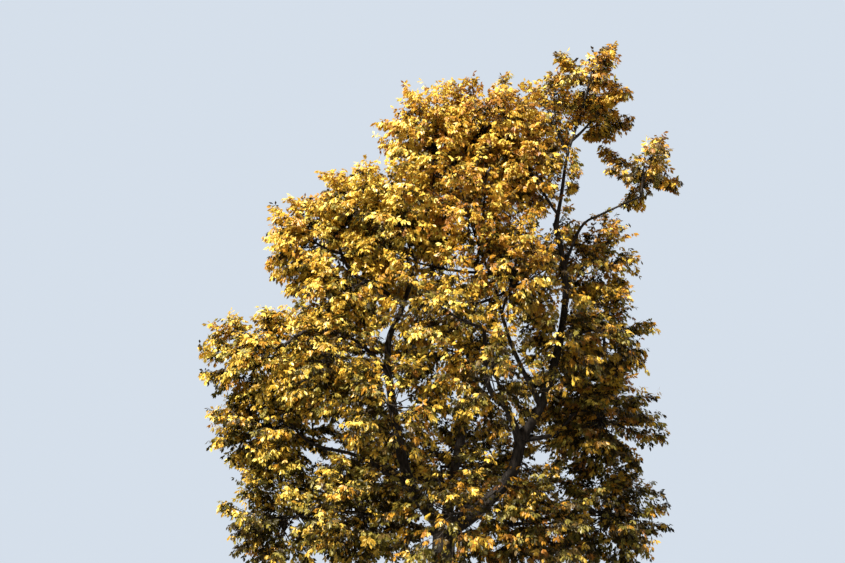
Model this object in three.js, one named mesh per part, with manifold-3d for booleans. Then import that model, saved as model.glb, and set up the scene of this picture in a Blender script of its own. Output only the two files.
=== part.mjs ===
// Pignut hickory in autumn leaf: a trunk, its boughs and the masses of foliage they carry.
// Millimetres, +Z up. The origin is the middle of the flat cut under the trunk, at ground level.
// The tree is seen from the front along +Y, with +X to the right.

import * as THREE from 'three';
import { mergeVertices } from 'three/addons/utils/BufferGeometryUtils.js';
import Module from 'manifold-3d';

const wasm = await Module();
wasm.setup();

// Driving dimensions

const METRE = 1000;
const SEAT_GAP = 0.3; // clear space between a limb and what grows from it
const LEAF_CLEARANCE = 14; // clear space between foliage and a limb it passes
const SPACE_MARGIN = 9; // each mass stops this far short of its neighbour's space
const GOLDEN_ANGLE = Math.PI * (3 - Math.sqrt(5));

const TRUNK = {
  lean: [[0, 0, 0], [0.03, 0, 1.1], [0.13, 0, 2.95]],
  footRadius: 0.36,
  forkRadius: 0.3,
  flare: 0.25, // how far the roots' swelling stands out at the ground
  flareHeight: 0.42,
  flareLobes: 5,
  flareLobeDepth: 0.3,
  sides: 15,
  steps: 8,
  skin: 1.2, // what the seat gap is widened by, so that it holds across the flat of each face too
};

const LIMB_SIDES = 6;
const LIMB_STEP = 0.9; // length of one faceted stretch of a limb, in metres
const LIMB_TAPER = 0.8; // under 1, a limb thins sooner near its foot than near its tip

// Each limb leaves its parent at a share of the parent's length, passes through its bends and
// ends at its tip. Places and thicknesses are in metres.
const LIMBS = [
  { name: 'right_stem', parent: 'trunk', share: 0.93, thick: [0.42, 0.31],
    route: [[0.8, 0, 3.1], [1.95, 0.05, 4.3], [2.25, 0.1, 5.3]] },
  { name: 'left_stem', parent: 'trunk', share: 0.94, thick: [0.36, 0.22],
    route: [[-0.42, 0, 3.37], [-0.9, 0, 4.2], [-1.22, 0, 5.6], [-1.47, -0.1, 7.25]] },
  { name: 'back_stem', parent: 'trunk', share: 0.9, thick: [0.32, 0.2],
    route: [[0.3, 0.9, 3.9], [0.75, 2.1, 6.2], [0.9, 2.9, 8.1]] },
  { name: 'leader', parent: 'right_stem', share: 0.985, thick: [0.27, 0.15],
    route: [[2.85, 0, 6.3], [3.5, 0, 9.1], [3.42, 0, 10.4], [3.24, 0, 11.3]] },
  { name: 'leader_top', parent: 'leader', share: 0.985, thick: [0.13, 0.06],
    route: [[3.44, 0, 12.2], [3.6, 0, 13.2], [4.05, 0, 14.6]] },
  { name: 'inner_limb', parent: 'right_stem', share: 0.95, thick: [0.23, 0.1],
    route: [[1.85, -0.3, 6.0], [1.35, -0.4, 6.6], [1.2, -0.7, 8.3]] },
  { name: 'centre_limb', parent: 'leader', share: 0.17, thick: [0.17, 0.07],
    route: [[2.34, -0.4, 6.95], [1.87, -0.7, 8.0], [1.5, -1.1, 9.3]] },
  { name: 'left_upper', parent: 'left_stem', share: 0.985, thick: [0.2, 0.07],
    route: [[-1.42, -0.1, 8.0], [-1.05, -0.1, 8.9], [-0.6, 0.1, 10.4], [-0.1, 0.2, 12.7]] },
  { name: 'left_shoulder', parent: 'left_upper', share: 0.33, thick: [0.15, 0.06],
    route: [[-1.85, -0.2, 9.5], [-2.5, -0.3, 9.9], [-2.95, -0.4, 10.9]] },
  { name: 'left_bough', parent: 'left_stem', share: 0.96, thick: [0.14, 0.06],
    route: [[-2.1, -0.35, 7.75], [-2.8, -0.5, 8.1], [-3.8, -0.6, 8.15]] },
  { name: 'lower_left_bough', parent: 'left_stem', share: 0.3, thick: [0.16, 0.06],
    route: [[-2.3, -0.35, 4.75], [-3.55, -0.5, 5.1], [-4.3, -0.6, 5.85]] },
  { name: 'low_left_bough', parent: 'trunk', share: 0.86, thick: [0.17, 0.06],
    route: [[-1.1, -0.3, 3.0], [-2.2, -0.45, 3.2], [-3.5, -0.5, 3.25]] },
  { name: 'right_bough', parent: 'leader', share: 0.8, thick: [0.11, 0.045],
    route: [[4.06, 0.1, 11.3], [4.6, 0.15, 11.6], [5.75, 0.3, 12.15]] },
  { name: 'right_middle_bough', parent: 'leader', share: 0.5, thick: [0.12, 0.055],
    route: [[3.9, 0.2, 8.2], [4.55, 0.35, 8.4]] },
  { name: 'low_right_bough', parent: 'right_stem', share: 0.97, thick: [0.16, 0.06],
    route: [[3.2, 0.1, 5.4], [3.75, 0.1, 5.95], [4.4, 0.1, 6.0]] },
  { name: 'low_right_limb', parent: 'trunk', share: 0.84, thick: [0.18, 0.06],
    route: [[1.2, 0.35, 2.75], [2.6, 0.4, 3.0], [4.2, 0.4, 3.35]] },
  { name: 'front_bough', parent: 'left_stem', share: 0.5, thick: [0.15, 0.06],
    route: [[-1.15, -1.0, 5.6], [-1.2, -2.4, 6.0]] },
  { name: 'front_middle_bough', parent: 'inner_limb', share: 0.3, thick: [0.13, 0.06],
    route: [[1.5, -1.4, 6.8], [1.35, -2.5, 7.0]] },
  { name: 'front_low_bough', parent: 'trunk', share: 0.88, thick: [0.17, 0.06],
    route: [[0.4, -0.9, 3.0], [0.75, -2.2, 3.35]] },
  { name: 'back_upper', parent: 'back_stem', share: 0.985, thick: [0.18, 0.07],
    route: [[1.0, 2.9, 9.6], [1.3, 2.6, 11.9]] },
  { name: 'back_left_bough', parent: 'back_stem', share: 0.62, thick: [0.14, 0.06],
    route: [[-0.6, 2.5, 6.9], [-2.3, 3.5, 7.9]] },
  { name: 'back_right_bough', parent: 'back_stem', share: 0.7, thick: [0.14, 0.06],
    route: [[2.1, 3.0, 6.9], [3.5, 3.6, 7.6]] },
  { name: 'back_low_bough', parent: 'back_stem', share: 0.18, thick: [0.16, 0.06],
    route: [[0.1, 2.1, 4.1], [0.05, 3.6, 4.7]] },
];

// Each mass of foliage: the limb that its stem leaves, at a share of the limb's length, the
// centre of its space, and how far the space reaches sideways and up and down, in metres.
const MASSES = [
  { name: 'crown_top', limb: 'leader_top', share: 1, centre: [4.3, -0.2, 15.6], reach: [1.0, 1.05] },
  { name: 'top_right', limb: 'leader_top', share: 0.72, centre: [4.65, 0.3, 14.75], reach: [0.8, 0.75] },
  { name: 'top_left', limb: 'leader_top', share: 0.6, centre: [3.1, 0.45, 14.85], reach: [0.95, 1.05] },
  { name: 'dome_middle', limb: 'left_upper', share: 1, centre: [1.45, -0.3, 14.15], reach: [1.35, 1.35] },
  { name: 'dome_left', limb: 'left_upper', share: 0.93, centre: [-0.15, 0.1, 13.85], reach: [1.4, 1.4] },
  { name: 'dome_back', limb: 'back_upper', share: 1, centre: [1.4, 2, 13.5], reach: [1.6, 1.5] },
  { name: 'leader_inner', limb: 'leader_top', share: 0.1, centre: [2.45, -0.8, 12.8], reach: [1.15, 1.2] },
  { name: 'shoulder_high', limb: 'left_shoulder', share: 1, centre: [-2.35, 0.1, 11.75],
    reach: [1.35, 1.2] },
  { name: 'shoulder_left', limb: 'left_shoulder', share: 0.8, centre: [-3.5, -0.1, 10.75],
    reach: [1.2, 1.3] },
  { name: 'upper_middle', limb: 'centre_limb', share: 1, centre: [0.6, -1.55, 11.8], reach: [1.5, 1.4] },
  { name: 'upper_left', limb: 'left_upper', share: 0.55, centre: [-1.15, -1.35, 11.3], reach: [1.35, 1.4] },
  { name: 'right_tip', limb: 'right_bough', share: 1, centre: [5.8, 0.3, 12.95], reach: [1.2, 0.9] },
  { name: 'leader_right', limb: 'leader', share: 0.72, centre: [4.3, 0.5, 10.3], reach: [1.05, 1.3] },
  { name: 'centre_front', limb: 'centre_limb', share: 0.8, centre: [2.0, -2.3, 9.8], reach: [1.35, 1.35] },
  { name: 'heart_front', limb: 'inner_limb', share: 1, centre: [-0.2, -2.8, 8.7], reach: [1.5, 1.4] },
  { name: 'shoulder_low', limb: 'left_shoulder', share: 0.42, centre: [-2.65, -0.9, 9.3],
    reach: [1.35, 1.2] },
  { name: 'left_lobe', limb: 'left_bough', share: 1, centre: [-5, -0.1, 7.55], reach: [1.55, 1.2] },
  { name: 'left_middle', limb: 'left_bough', share: 0.6, centre: [-3.0, -1.9, 7.1], reach: [1.45, 1.35] },
  { name: 'left_low', limb: 'lower_left_bough', share: 1, centre: [-4.7, 0.2, 5.6], reach: [1.45, 1.3] },
  { name: 'right_middle', limb: 'right_middle_bough', share: 1, centre: [4.65, 0.9, 8.2],
    reach: [1.25, 1.6] },
  { name: 'front_middle', limb: 'front_middle_bough', share: 1, centre: [1.25, -3.4, 6.6],
    reach: [1.5, 1.4] },
  { name: 'front_left', limb: 'front_bough', share: 1, centre: [-1.35, -3.3, 5.9], reach: [1.45, 1.4] },
  { name: 'inner_right', limb: 'leader', share: 0.4, centre: [3.3, -1.5, 7.9], reach: [1.2, 1.4] },
  { name: 'right_low', limb: 'low_right_bough', share: 1, centre: [4.5, 0.6, 5.8], reach: [1.5, 1.5] },
  { name: 'low_left_tip', limb: 'low_left_bough', share: 1, centre: [-4.2, 0.0, 3.1], reach: [1.5, 1.5] },
  { name: 'low_front_left', limb: 'low_left_bough', share: 0.6, centre: [-2.1, -2.4, 3.2],
    reach: [1.5, 1.5] },
  { name: 'low_front', limb: 'front_low_bough', share: 1, centre: [0.3, -3.4, 3.1], reach: [1.5, 1.6] },
  { name: 'low_front_right', limb: 'front_low_bough', share: 0.7, centre: [2.6, -2.3, 2.9],
    reach: [1.5, 1.5] },
  { name: 'low_right_tip', limb: 'low_right_limb', share: 1, centre: [4.6, 0.8, 3.2], reach: [1.5, 1.5] },
  { name: 'back_upper_left', limb: 'back_upper', share: 0.6, centre: [-1.5, 2.3, 10.9],
    reach: [1.7, 1.6] },
  { name: 'back_upper_right', limb: 'back_upper', share: 0.35, centre: [3.2, 2.6, 10.5],
    reach: [1.65, 1.7] },
  { name: 'back_left', limb: 'back_left_bough', share: 1, centre: [-3.3, 3, 8], reach: [1.75, 1.7] },
  { name: 'back_middle', limb: 'back_stem', share: 0.97, centre: [0.2, 4.1, 8.3], reach: [1.8, 1.7] },
  { name: 'back_right', limb: 'back_right_bough', share: 1, centre: [3.95, 3.3, 6.8], reach: [1.7, 1.7] },
  { name: 'back_low_left', limb: 'back_low_bough', share: 0.6, centre: [-1.8, 3.1, 4.7],
    reach: [1.8, 1.6] },
  { name: 'back_low_right', limb: 'back_low_bough', share: 1, centre: [1.45, 4.2, 4.9], reach: [1.8, 1.6] },
];

// Foliage: the growing rule's sizes, in metres, and its shares
const FULLNESS = 1.2; // how far neighbouring spaces reach into each other before they are parted
const SEED = { first: 109, apart: 13 };
const STEM = { sides: 3, steps: 2, thick: [0.12, 0.09], past: 0.2, sag: 0.1, lastSeat: 0.985 };
const TWIG = {
  perMass: 5,
  thick: [0.052, 0.042],
  onStem: [0.5, 0.95], // the stretch of the stem that twigs leave, as shares of its length
  stride: 0.618, // how far each twig starts from the one before, as a share of that stretch
  spread: [0.42, 0.52], // where twigs end, as shares of the way from the centre to the space's edge
  wander: 0.8, // how far chance turns a twig from its even place, in radians
};
const LEAF = {
  length: 0.95, // of the space's reach, at size 1, as are width and thick
  width: 0.8,
  thick: 0.05,
  perTwig: 3,
  outermost: 0.93, // the first leaf's place on its twig, and how much nearer each next one is
  apart: 0.3,
  endLean: [0.2, 0.6], // how far the leaf at the end, and those at the sides, lean sideways
  sideLean: [0.6, 1.2],
  droop: [0.18, 1.02],
  lift: 0.8, // how much less the leaves of a rising twig droop
  roll: [0.48, 1.44],
  size: [1.05, 1.3],
  shrink: 0.036, // a leaf that has no room is tried again, this much smaller and at another slant
  tries: 22,
  rootDepth: 0.45, // how far past the twig's middle the root is sunk, of the twig's radius
};

const BARK = new THREE.MeshStandardMaterial({ color: 0x3b332c, roughness: 0.92, metalness: 0 });
const FOLIAGE_TINTS = [0xb98a1e, 0xa87a1c, 0xc59a2c, 0x8d7420];
const LEAF_ROUGHNESS = 0.7;

// Seeded random numbers from 0 to 1, the same on every run
function seeded(seed) {
  let state = seed >>> 0;
  return () => {
    state = (state + 0x6d2b79f5) >>> 0;
    let t = state;
    t = Math.imul(t ^ (t >>> 15), t | 1);
    t ^= t + Math.imul(t ^ (t >>> 7), t | 61);
    return ((t ^ (t >>> 14)) >>> 0) / 2 ** 32;
  };
}

const UP = new THREE.Vector3(0, 0, 1);
const DOWN = new THREE.Vector3(0, 0, -1);

const vector = (place) => new THREE.Vector3(...place).multiplyScalar(METRE);

// Closed geometry to solid and back

function toSolid(geometry) {
  const bare = geometry.clone();
  for (const attribute of ['normal', 'uv']) bare.deleteAttribute(attribute);
  const merged = mergeVertices(bare, 1e-3);
  return new wasm.Manifold(new wasm.Mesh({
    numProp: 3,
    vertProperties: new Float32Array(merged.attributes.position.array),
    triVerts: new Uint32Array(merged.index.array),
  }));
}

function toGeometry(solid) {
  const mesh = solid.getMesh();
  const geometry = new THREE.BufferGeometry();
  geometry.setAttribute('position', new THREE.BufferAttribute(mesh.vertProperties, 3));
  geometry.setIndex(new THREE.BufferAttribute(mesh.triVerts, 1));
  geometry.computeVertexNormals();
  return geometry;
}

// The largest body of a solid, without the loose scraps that a cut can leave
function largestBody(solid) {
  const bodies = solid.decompose();
  return bodies.reduce((best, body) => (body.volume() > best.volume() ? body : best));
}

function touches(a, b) {
  const p = a.boundingBox();
  const q = b.boundingBox();
  for (let i = 0; i < 3; i += 1) {
    if (p.min[i] > q.max[i] || p.max[i] < q.min[i]) return false;
  }
  return !a.intersect(b).isEmpty();
}

// Limbs: a closed cylinder laid along a curve, its radius a function of share and angle

function alongCurve(curve, sides, steps, radiusAt) {
  const geometry = new THREE.CylinderGeometry(1, 1, 1, sides, steps);
  const frames = curve.computeFrenetFrames(steps, false);
  const position = geometry.attributes.position;
  const point = new THREE.Vector3();
  for (let i = 0; i < position.count; i += 1) {
    const share = position.getY(i) + 0.5;
    const step = Math.round(share * steps);
    const reach = Math.hypot(position.getX(i), position.getZ(i));
    const angle = Math.atan2(position.getZ(i), position.getX(i));
    const radius = reach * radiusAt(share, angle);
    point.copy(curve.getPointAt(share));
    point.addScaledVector(frames.normals[step], Math.sin(angle) * radius);
    point.addScaledVector(frames.binormals[step], Math.cos(angle) * radius);
    position.setXYZ(i, point.x, point.y, point.z);
  }
  return geometry;
}

function trunkCurve(grow) {
  const points = TRUNK.lean.map(vector);
  points[points.length - 1].z += grow;
  return new THREE.CatmullRomCurve3(points);
}

// The trunk with a skin of the given depth, round it and over its top
function trunkSolid(grow) {
  const curve = trunkCurve(grow);
  const height = curve.getPoint(1).z;
  const radiusAt = (share, angle) => {
    const swelling = TRUNK.flare * Math.exp((-share * height) / (TRUNK.flareHeight * METRE));
    const lobes = 1 + TRUNK.flareLobeDepth * Math.cos(TRUNK.flareLobes * angle);
    const taper = TRUNK.footRadius + (TRUNK.forkRadius - TRUNK.footRadius) * share;
    return (taper + swelling * lobes) * METRE + grow;
  };
  const geometry = alongCurve(curve, TRUNK.sides, TRUNK.steps, radiusAt);
  const position = geometry.attributes.position;
  const foot = (TRUNK.flareHeight * METRE) / TRUNK.steps;
  for (let i = 0; i < position.count; i += 1) {
    if (position.getZ(i) < foot) position.setZ(i, 0);
  }
  return toSolid(geometry);
}

function limbCurve(limb, parentCurve) {
  const start = parentCurve.getPointAt(limb.share);
  return new THREE.CatmullRomCurve3([start, ...limb.route.map(vector)], false, 'centripetal');
}

function limbSolid(limb, curve, grow) {
  const steps = Math.max(2, Math.round(curve.getLength() / (LIMB_STEP * METRE)));
  const [thickStart, thickEnd] = limb.thick;
  const radiusAt = (share) => {
    const thick = thickStart + (thickEnd - thickStart) * share ** LIMB_TAPER;
    return (thick / 2) * METRE + grow;
  };
  return toSolid(alongCurve(curve, LIMB_SIDES, steps, radiusAt));
}

// A limb's solid with a skin of the given depth all round and past its tip
function grownLimb(limb, curve, grow) {
  const skin = grow / Math.cos(Math.PI / LIMB_SIDES);
  const tip = curve.getPointAt(1);
  const onward = curve.getTangentAt(1);
  const points = curve.points.map((point) => point.clone());
  points[points.length - 1] = tip.addScaledVector(onward, grow);
  const longer = new THREE.CatmullRomCurve3(points, false, 'centripetal');
  return limbSolid(limb, longer, skin);
}

function growLimbs() {
  const grown = new Map();
  const trunk = {
    curve: trunkCurve(0),
    solid: trunkSolid(0),
    seat: trunkSolid(TRUNK.skin * SEAT_GAP),
    guard: trunkSolid(LEAF_CLEARANCE),
  };
  grown.set('trunk', trunk);
  for (const limb of LIMBS) {
    const curve = limbCurve(limb, grown.get(limb.parent).curve);
    let solid = limbSolid(limb, curve, 0);
    for (const earlier of grown.values()) {
      if (touches(solid, earlier.seat)) solid = solid.subtract(earlier.seat);
    }
    grown.set(limb.name, {
      curve,
      solid: largestBody(solid),
      seat: grownLimb(limb, curve, SEAT_GAP),
      guard: grownLimb(limb, curve, LEAF_CLEARANCE),
    });
  }
  return grown;
}

// Spaces: a mass keeps within its own oval, on its own side of the plane to each neighbour

function spaceOf(mass) {
  const centre = vector(mass.centre);
  const [level, height] = mass.reach.map((reach) => reach * FULLNESS * METRE);
  return { centre, reach: new THREE.Vector3(level, level, height), weight: level ** 2 };
}

function inSpace(point, space, neighbours) {
  const offset = point.clone().sub(space.centre);
  const own = offset.lengthSq() - space.weight;
  if (offset.divide(space.reach).lengthSq() > 1) return false;
  return neighbours.every((other) => {
    const theirs = point.distanceToSquared(other.centre) - other.weight;
    return theirs - own >= 2 * SPACE_MARGIN * other.centre.distanceTo(space.centre);
  });
}

// Stems, twigs and leaves

const between = ([low, high], share) => low + (high - low) * share;

function stemCurve(mass, limbRoute, space) {
  const start = limbRoute.getPointAt(Math.min(mass.share, STEM.lastSeat));
  const end = space.centre.clone();
  const span = end.clone().sub(start);
  end.addScaledVector(span.clone().normalize(), STEM.past * space.reach.z);
  const bend = start.clone().lerp(end, 0.5);
  bend.z -= STEM.sag * span.length();
  return new THREE.QuadraticBezierCurve3(start, bend, end);
}

function stemSolid(curve, grow) {
  const radiusAt = (share) => (between(STEM.thick, share) / 2) * METRE + grow;
  return toSolid(alongCurve(curve, STEM.sides, STEM.steps, radiusAt));
}

// Directions spread evenly over a ball, turned a little by chance
function evenDirection(index, count, chance) {
  const height = 1 - (2 * (index + 0.5)) / count;
  const turn = index * GOLDEN_ANGLE + TWIG.wander * chance();
  const ring = Math.sqrt(1 - height * height);
  return new THREE.Vector3(ring * Math.cos(turn), ring * Math.sin(turn), height);
}

// A twig's route: it leaves the stem and ends part of the way to the edge of the mass's space
function twigRoute(index, stem, space, chance) {
  const outward = evenDirection(index, TWIG.perMass, chance);
  const start = stem.curve.getPointAt(between(TWIG.onStem, (index * TWIG.stride) % 1));
  const end = space.centre.clone()
    .addScaledVector(outward.clone().multiply(space.reach), between(TWIG.spread, chance()));
  return { outward, start, end, along: end.clone().sub(start).normalize() };
}

// A three-sided twig with one edge below, so that leaves leave it through its two lower faces
function twigSolid({ start, end, along }) {
  const length = start.distanceTo(end);
  const [base, tip] = TWIG.thick.map((thick) => (thick / 2) * METRE);
  const geometry = new THREE.CylinderGeometry(tip, base, length, 3, 1);
  geometry.translate(0, length / 2, 0);
  const across = new THREE.Vector3().crossVectors(along, DOWN).normalize();
  const below = new THREE.Vector3().crossVectors(across, along);
  geometry.applyMatrix4(new THREE.Matrix4().makeBasis(across, along, below));
  geometry.translate(start.x, start.y, start.z);
  return toSolid(geometry);
}

// A leaf stands for a spray: a kite folded along its midrib, its root inside the twig. The four
// corners of a tetrahedron, turned by an eighth of a circle, are its root, tip and two sides.
function leafGeometry(root, heading, facing, size) {
  const geometry = new THREE.TetrahedronGeometry(1);
  geometry.rotateZ(-Math.PI / 4);
  const half = new THREE.Vector3(LEAF.length, LEAF.width, LEAF.thick).multiplyScalar(size / 2);
  geometry.scale(half.x * Math.sqrt(1.5), half.y * Math.sqrt(1.5), half.z * Math.sqrt(3));
  geometry.translate(half.x, 0, -half.z);
  const across = new THREE.Vector3().crossVectors(facing, heading).normalize();
  const normal = new THREE.Vector3().crossVectors(heading, across);
  geometry.applyMatrix4(new THREE.Matrix4().makeBasis(heading, across, normal));
  geometry.translate(root.x, root.y, root.z);
  return geometry;
}

// The leaf at a twig's end is of order 0, and the next ones stand to its right and left by turns
function leafOnTwig({ outward, start, end, along }, order, tries, reach, chance) {
  const place = LEAF.outermost - order * LEAF.apart;
  const sideways = new THREE.Vector3().crossVectors(along, UP).normalize();
  const side = order === 1 ? 1 : -1;
  const lean = side * between(order === 0 ? LEAF.endLean : LEAF.sideLean, chance());
  const droop = between(LEAF.droop, chance()) * (1 - LEAF.lift * Math.max(0, outward.z));
  const heading = along.clone().addScaledVector(sideways, lean).addScaledVector(DOWN, droop).normalize();
  const roll = (chance() < 0.5 ? -1 : 1) * between(LEAF.roll, chance());
  const facing = outward.clone().add(UP).addScaledVector(sideways, roll).normalize();
  const radius = (between(TWIG.thick, place) / 2) * METRE;
  const root = start.clone().lerp(end, place).addScaledVector(heading, -LEAF.rootDepth * radius);
  const size = between(LEAF.size, chance()) - LEAF.shrink * tries;
  return leafGeometry(root, heading, facing, size * reach);
}

function geometryInSpace(geometry, space, neighbours) {
  const position = geometry.attributes.position;
  const point = new THREE.Vector3();
  for (let i = 0; i < position.count; i += 1) {
    if (!inSpace(point.fromBufferAttribute(position, i), space, neighbours)) return false;
  }
  return true;
}

const isClear = (solid, blockers) => !blockers.some((blocker) => touches(solid, blocker));

// The largest leaf that has room at its place on the twig, or none
function leafWithRoom(route, order, space, neighbours, blockers, chance) {
  for (let tries = 0; tries < LEAF.tries; tries += 1) {
    const geometry = leafOnTwig(route, order, tries, space.reach.x, chance);
    if (geometryInSpace(geometry, space, neighbours)) {
      const leaf = toSolid(geometry);
      if (isClear(leaf, blockers)) return leaf;
    }
  }
  return null;
}

// One mass: a twig or leaf that would leave the space or touch anything but its own twig is skipped
function growMass(index, stem, spaces, guards) {
  const chance = seeded(SEED.first + index * SEED.apart);
  const space = spaces[index];
  const neighbours = spaces.filter((other) => other !== space
    && other.centre.distanceTo(space.centre) < other.reach.length() + space.reach.length());
  const others = guards.filter((guard) => guard.owner !== index).map((guard) => guard.solid);
  const grown = [];
  for (let k = 0; k < TWIG.perMass; k += 1) {
    const route = twigRoute(k, stem, space, chance);
    const twig = twigSolid(route);
    const inside = [route.start, route.end].every((point) => inSpace(point, space, neighbours));
    if (!inside || !isClear(twig, [...others, ...grown])) continue;
    const leaves = [];
    for (let order = 0; order < LEAF.perTwig; order += 1) {
      const blockers = [...others, ...grown, ...leaves, stem.solid];
      const leaf = leafWithRoom(route, order, space, neighbours, blockers, chance);
      if (leaf) leaves.push(leaf);
    }
    grown.push(twig, ...leaves);
  }
  return largestBody(grown.reduce((solid, part) => solid.add(part), stem.solid));
}

function growFoliage(limbs) {
  const spaces = MASSES.map(spaceOf);
  const guards = [...limbs.values()].map((limb) => ({ owner: -1, solid: limb.guard }));
  const stems = MASSES.map((mass, index) => {
    const curve = stemCurve(mass, limbs.get(mass.limb).curve, spaces[index]);
    let solid = stemSolid(curve, 0);
    for (const limb of limbs.values()) {
      if (touches(solid, limb.seat)) solid = solid.subtract(limb.seat);
    }
    guards.push({ owner: index, solid: stemSolid(curve, LEAF_CLEARANCE) });
    return { curve, solid: largestBody(solid) };
  });
  return MASSES.map((mass, index) => ({
    name: `foliage_${mass.name}`,
    solid: growMass(index, stems[index], spaces, guards),
  }));
}

// The tree

const tree = new THREE.Group();

function addNode(name, solid, material) {
  const mesh = new THREE.Mesh(toGeometry(solid), material);
  mesh.name = name;
  tree.add(mesh);
}

const limbs = growLimbs();
for (const [name, limb] of limbs) addNode(name, limb.solid, BARK);

growFoliage(limbs).forEach((mass, index) => {
  const tint = FOLIAGE_TINTS[index % FOLIAGE_TINTS.length];
  addNode(mass.name, mass.solid, new THREE.MeshStandardMaterial({ color: tint, roughness: LEAF_ROUGHNESS }));
});

export default tree;
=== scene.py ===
# Looks of the pignut hickory in autumn leaf: furrowed bark, boughs, twigs and compound leaves
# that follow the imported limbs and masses. Metres, +Z up, seen from the front along +Y.

import math

import bpy
import numpy as np
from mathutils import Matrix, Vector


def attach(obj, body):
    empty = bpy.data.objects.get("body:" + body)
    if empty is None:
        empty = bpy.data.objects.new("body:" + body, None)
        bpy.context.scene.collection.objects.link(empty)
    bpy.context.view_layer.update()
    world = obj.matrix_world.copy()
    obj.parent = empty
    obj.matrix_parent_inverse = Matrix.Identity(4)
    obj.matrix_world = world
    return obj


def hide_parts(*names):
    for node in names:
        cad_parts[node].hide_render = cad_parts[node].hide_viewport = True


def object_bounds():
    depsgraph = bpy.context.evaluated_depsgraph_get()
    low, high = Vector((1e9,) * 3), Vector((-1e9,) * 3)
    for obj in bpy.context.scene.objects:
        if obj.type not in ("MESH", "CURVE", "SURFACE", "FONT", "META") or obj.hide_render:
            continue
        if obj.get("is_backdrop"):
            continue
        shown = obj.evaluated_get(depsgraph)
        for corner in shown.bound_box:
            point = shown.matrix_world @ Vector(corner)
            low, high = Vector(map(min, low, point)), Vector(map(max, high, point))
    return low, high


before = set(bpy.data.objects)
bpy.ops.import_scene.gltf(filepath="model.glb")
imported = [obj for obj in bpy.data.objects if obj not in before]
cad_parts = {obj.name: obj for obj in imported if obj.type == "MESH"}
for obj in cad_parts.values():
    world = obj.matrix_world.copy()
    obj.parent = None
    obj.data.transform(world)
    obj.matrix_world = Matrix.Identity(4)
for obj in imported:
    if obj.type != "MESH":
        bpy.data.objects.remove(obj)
cad_low, cad_high = (np.array(corner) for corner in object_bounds())

# Driving sizes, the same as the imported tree's

TRUNK = {
    "lean": [(0, 0, 0), (0.03, 0, 1.1), (0.13, 0, 2.95)],
    "foot_radius": 0.36,
    "fork_radius": 0.3,
    "flare": 0.25,
    "flare_height": 0.42,
    "flare_lobes": 5,
    "flare_lobe_depth": 0.3,
}

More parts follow.
